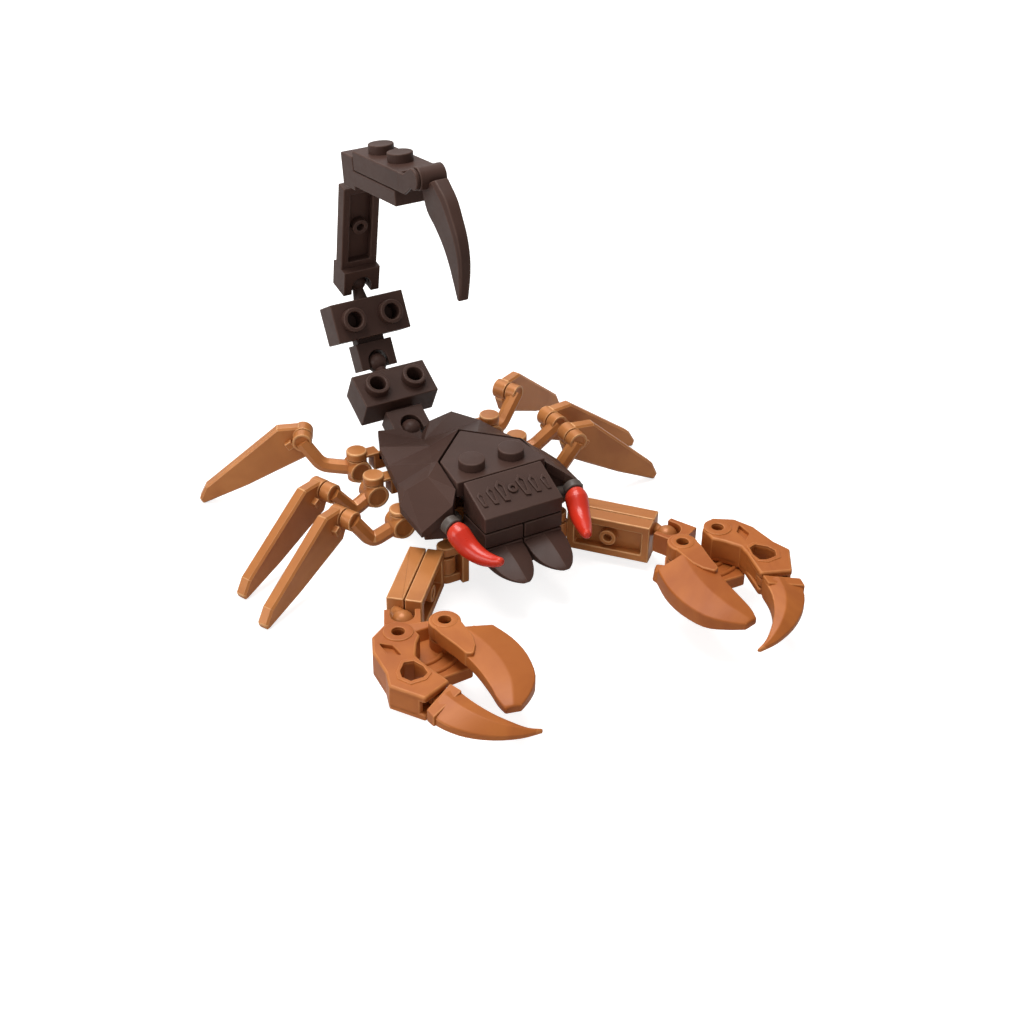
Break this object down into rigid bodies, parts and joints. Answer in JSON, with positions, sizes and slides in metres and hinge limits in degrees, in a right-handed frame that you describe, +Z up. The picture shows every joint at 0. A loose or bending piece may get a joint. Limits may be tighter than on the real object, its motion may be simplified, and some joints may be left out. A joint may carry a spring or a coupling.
{
  "type": "building-brick toy scorpion",
  "caption": "Toy scorpion of interlocking bricks: faceted shell, arched tail with a curved stinger, pincers on arms, and legs with flat blades, all on ball and pin joints.",
  "frame": {"origin": "centre of the flat underside of the belly dish, on the surface it stands on", "axes": "+Z up, -Y towards the head, +X towards the side that is on the right of someone who faces the head; pieces named right lie there"},
  "size_m": [0.0919, 0.113, 0.0695],
  "materials": {
    "dark_brown": "satin",
    "pearl_gold": "pearl",
    "copper_orange": "pearl",
    "horn_red": "gloss",
    "dark_grey": "satin"
  },
  "bodies": {
    "body": {"carapace": "dark_brown", "back_plate": "dark_brown", "head_slope": "dark_brown", "chassis_lower": "dark_brown", "chassis_upper": "dark_brown", "belly_dish": "pearl_gold", "leg_holder_front": "pearl_gold", "leg_holder_middle": "pearl_gold", "leg_holder_rear": "pearl_gold", "jaw_plate_left": "dark_brown", "jaw_plate_right": "dark_brown", "fang_left": "dark_brown", "fang_right": "dark_brown", "horn_holder_left": "dark_grey", "horn_holder_right": "dark_grey", "shoulder_block_left": "pearl_gold", "shoulder_block_right": "pearl_gold"},
    "arm_left": {"arm_inner_plate_left": "pearl_gold", "arm_outer_plate_left": "pearl_gold"},
    "arm_right": {"arm_inner_plate_right": "pearl_gold", "arm_outer_plate_right": "pearl_gold"},
    "palm_left": {"palm_left": "copper_orange"},
    "palm_right": {"palm_right": "copper_orange"},
    "pincer_link_left": {"pincer_link_left": "copper_orange"},
    "pincer_link_right": {"pincer_link_right": "copper_orange"},
    "broad_blade_left": {"broad_blade_left": "copper_orange"},
    "broad_blade_right": {"broad_blade_right": "copper_orange"},
    "thin_blade_left": {"thin_blade_left": "copper_orange"},
    "thin_blade_right": {"thin_blade_right": "copper_orange"},
    "horn_left": {"horn_left": "horn_red"},
    "horn_right": {"horn_right": "horn_red"},
    "leg_arm_left_front": {"leg_arm_left_front": "pearl_gold"},
    "leg_arm_left_middle": {"leg_arm_left_middle": "pearl_gold"},
    "leg_arm_left_rear": {"leg_arm_left_rear": "pearl_gold"},
    "leg_arm_right_front": {"leg_arm_right_front": "pearl_gold"},
    "leg_arm_right_middle": {"leg_arm_right_middle": "pearl_gold"},
    "leg_arm_right_rear": {"leg_arm_right_rear": "pearl_gold"},
    "leg_blade_left_front": {"leg_blade_left_front": "pearl_gold"},
    "leg_blade_left_middle": {"leg_blade_left_middle": "pearl_gold"},
    "leg_blade_left_rear": {"leg_blade_left_rear": "pearl_gold"},
    "leg_blade_right_front": {"leg_blade_right_front": "pearl_gold"},
    "leg_blade_right_middle": {"leg_blade_right_middle": "pearl_gold"},
    "leg_blade_right_rear": {"leg_blade_right_rear": "pearl_gold"},
    "tail_segment_1": {"tail_segment_1": "dark_brown"},
    "tail_segment_2": {"tail_segment_2": "dark_brown"},
    "tail_upright": {"tail_upright": "dark_brown"},
    "tail_top": {"tail_top": "dark_brown", "stinger_holder": "dark_brown"},
    "stinger": {"stinger": "dark_brown"}
  },
  "joints": [
    {"name": "tail_base", "type": "hinge", "parent": "body", "child": "tail_segment_1", "pos_m": [0, 0.029, 0.0109], "axis": [1, 0, 0], "range_deg": [-15, 12]},
    {"name": "tail_middle", "type": "hinge", "parent": "tail_segment_1", "child": "tail_segment_2", "pos_m": [0, 0.04397, 0.01853], "axis": [1, 0, 0], "range_deg": [-15, 10]},
    {"name": "tail_upper", "type": "hinge", "parent": "tail_segment_2", "child": "tail_upright", "pos_m": [0, 0.05262, 0.03293], "axis": [1, 0, 0], "range_deg": [-20, 5]},
    {"name": "tail_top", "type": "hinge", "parent": "tail_upright", "child": "tail_top", "pos_m": [0, 0.04554, 0.05869], "axis": [1, 0, 0], "range_deg": [-10, 10]},
    {"name": "stinger_clip", "type": "hinge", "parent": "tail_top", "child": "stinger", "pos_m": [0, 0.01837, 0.06725], "axis": [1, 0, 0], "range_deg": [-15, 15]},
    {"name": "shoulder_left", "type": "hinge", "parent": "body", "child": "arm_left", "pos_m": [-0.01168, -0.00782, 0.0057], "axis": [0, 0, 1], "range_deg": [-25, 20]},
    {"name": "shoulder_right", "type": "hinge", "parent": "body", "child": "arm_right", "pos_m": [0.01168, -0.00782, 0.0057], "axis": [0, 0, 1], "range_deg": [-20, 25]},
    {"name": "wrist_left", "type": "hinge", "parent": "arm_left", "child": "palm_left", "pos_m": [-0.02685, -0.02125, 0.0069], "axis": [0, 0, 1], "range_deg": [-10, 10]},
    {"name": "wrist_right", "type": "hinge", "parent": "arm_right", "child": "palm_right", "pos_m": [0.02685, -0.02125, 0.0069], "axis": [0, 0, 1], "range_deg": [-10, 10]},
    {"name": "link_left", "type": "hinge", "parent": "palm_left", "child": "pincer_link_left", "pos_m": [-0.0317, -0.0297, 0.0098], "axis": [0, 0, 1], "range_deg": [-20, 0]},
    {"name": "link_right", "type": "hinge", "parent": "palm_right", "child": "pincer_link_right", "pos_m": [0.0317, -0.0297, 0.0098], "axis": [0, 0, 1], "range_deg": [0, 20]},
    {"name": "broad_blade_left", "type": "hinge", "parent": "palm_left", "child": "broad_blade_left", "pos_m": [-0.0236, -0.0305, 0.0108], "axis": [0, 0, 1], "range_deg": [0, 30]},
    {"name": "broad_blade_right", "type": "hinge", "parent": "palm_right", "child": "broad_blade_right", "pos_m": [0.0236, -0.0305, 0.0108], "axis": [0, 0, 1], "range_deg": [-30, 0]},
    {"name": "thin_blade_left", "type": "hinge", "parent": "pincer_link_left", "child": "thin_blade_left", "pos_m": [-0.0322, -0.044, 0.0098], "axis": [0, 0, 1], "range_deg": [-10, 0]},
    {"name": "thin_blade_right", "type": "hinge", "parent": "pincer_link_right", "child": "thin_blade_right", "pos_m": [0.0322, -0.044, 0.0098], "axis": [0, 0, 1], "range_deg": [0, 10]},
    {"name": "horn_twist_left", "type": "hinge", "parent": "body", "child": "horn_left", "pos_m": [-0.0123, -0.0123, 0.0159], "axis": [0.2052, -0.957, -0.2052], "range_deg": [-25, 25]},
    {"name": "horn_twist_right", "type": "hinge", "parent": "body", "child": "horn_right", "pos_m": [0.0123, -0.0123, 0.0159], "axis": [-0.2052, -0.957, -0.2052], "range_deg": [-25, 25]},
    {"name": "hip_left_front", "type": "hinge", "parent": "body", "child": "leg_arm_left_front", "pos_m": [-0.0155, 0.0025, 0.0093], "axis": [0, 0, 1], "range_deg": [-10, 15]},
    {"name": "hip_left_middle", "type": "hinge", "parent": "body", "child": "leg_arm_left_middle", "pos_m": [-0.0153, 0.014, 0.0093], "axis": [0, 0, 1], "range_deg": [-15, 10]},
    {"name": "hip_left_rear", "type": "hinge", "parent": "body", "child": "leg_arm_left_rear", "pos_m": [-0.0144, 0.0233, 0.0093], "axis": [0, 0, 1], "range_deg": [-15, 15]},
    {"name": "hip_right_front", "type": "hinge", "parent": "body", "child": "leg_arm_right_front", "pos_m": [0.0155, 0.0025, 0.0093], "axis": [0, 0, 1], "range_deg": [-15, 15]},
    {"name": "hip_right_middle", "type": "hinge", "parent": "body", "child": "leg_arm_right_middle", "pos_m": [0.0153, 0.014, 0.0093], "axis": [0, 0, 1], "range_deg": [-15, 15]},
    {"name": "hip_right_rear", "type": "hinge", "parent": "body", "child": "leg_arm_right_rear", "pos_m": [0.0144, 0.0233, 0.0093], "axis": [0, 0, 1], "range_deg": [-15, 15]},
    {"name": "knee_left_front", "type": "hinge", "parent": "leg_arm_left_front", "child": "leg_blade_left_front", "pos_m": [-0.025, 0.0056, 0.0115], "axis": [-0.4669, 0.8843, 0], "range_deg": [0, 20]},
    {"name": "knee_left_middle", "type": "hinge", "parent": "leg_arm_left_middle", "child": "leg_blade_left_middle", "pos_m": [-0.025, 0.0142, 0.0126], "axis": [-0.4138, 0.9104, 0], "range_deg": [0, 20]},
    {"name": "knee_left_rear", "type": "hinge", "parent": "leg_arm_left_rear", "child": "leg_blade_left_rear", "pos_m": [-0.0225, 0.0298, 0.015], "axis": [0.4453, 0.8954, 0], "range_deg": [0, 20]},
    {"name": "knee_right_front", "type": "hinge", "parent": "leg_arm_right_front", "child": "leg_blade_right_front", "pos_m": [0.0223, 0.0047, 0.0155], "axis": [0.0199, 0.9998, 0], "range_deg": [-20, 0]},
    {"name": "knee_right_middle", "type": "hinge", "parent": "leg_arm_right_middle", "child": "leg_blade_right_middle", "pos_m": [0.024, 0.0149, 0.0135], "axis": [-0.1018, 0.9948, 0], "range_deg": [-20, 0]},
    {"name": "knee_right_rear", "type": "hinge", "parent": "leg_arm_right_rear", "child": "leg_blade_right_rear", "pos_m": [0.022, 0.0289, 0.0136], "axis": [-0.4472, 0.8944, 0], "range_deg": [-20, 0]}
  ]
}
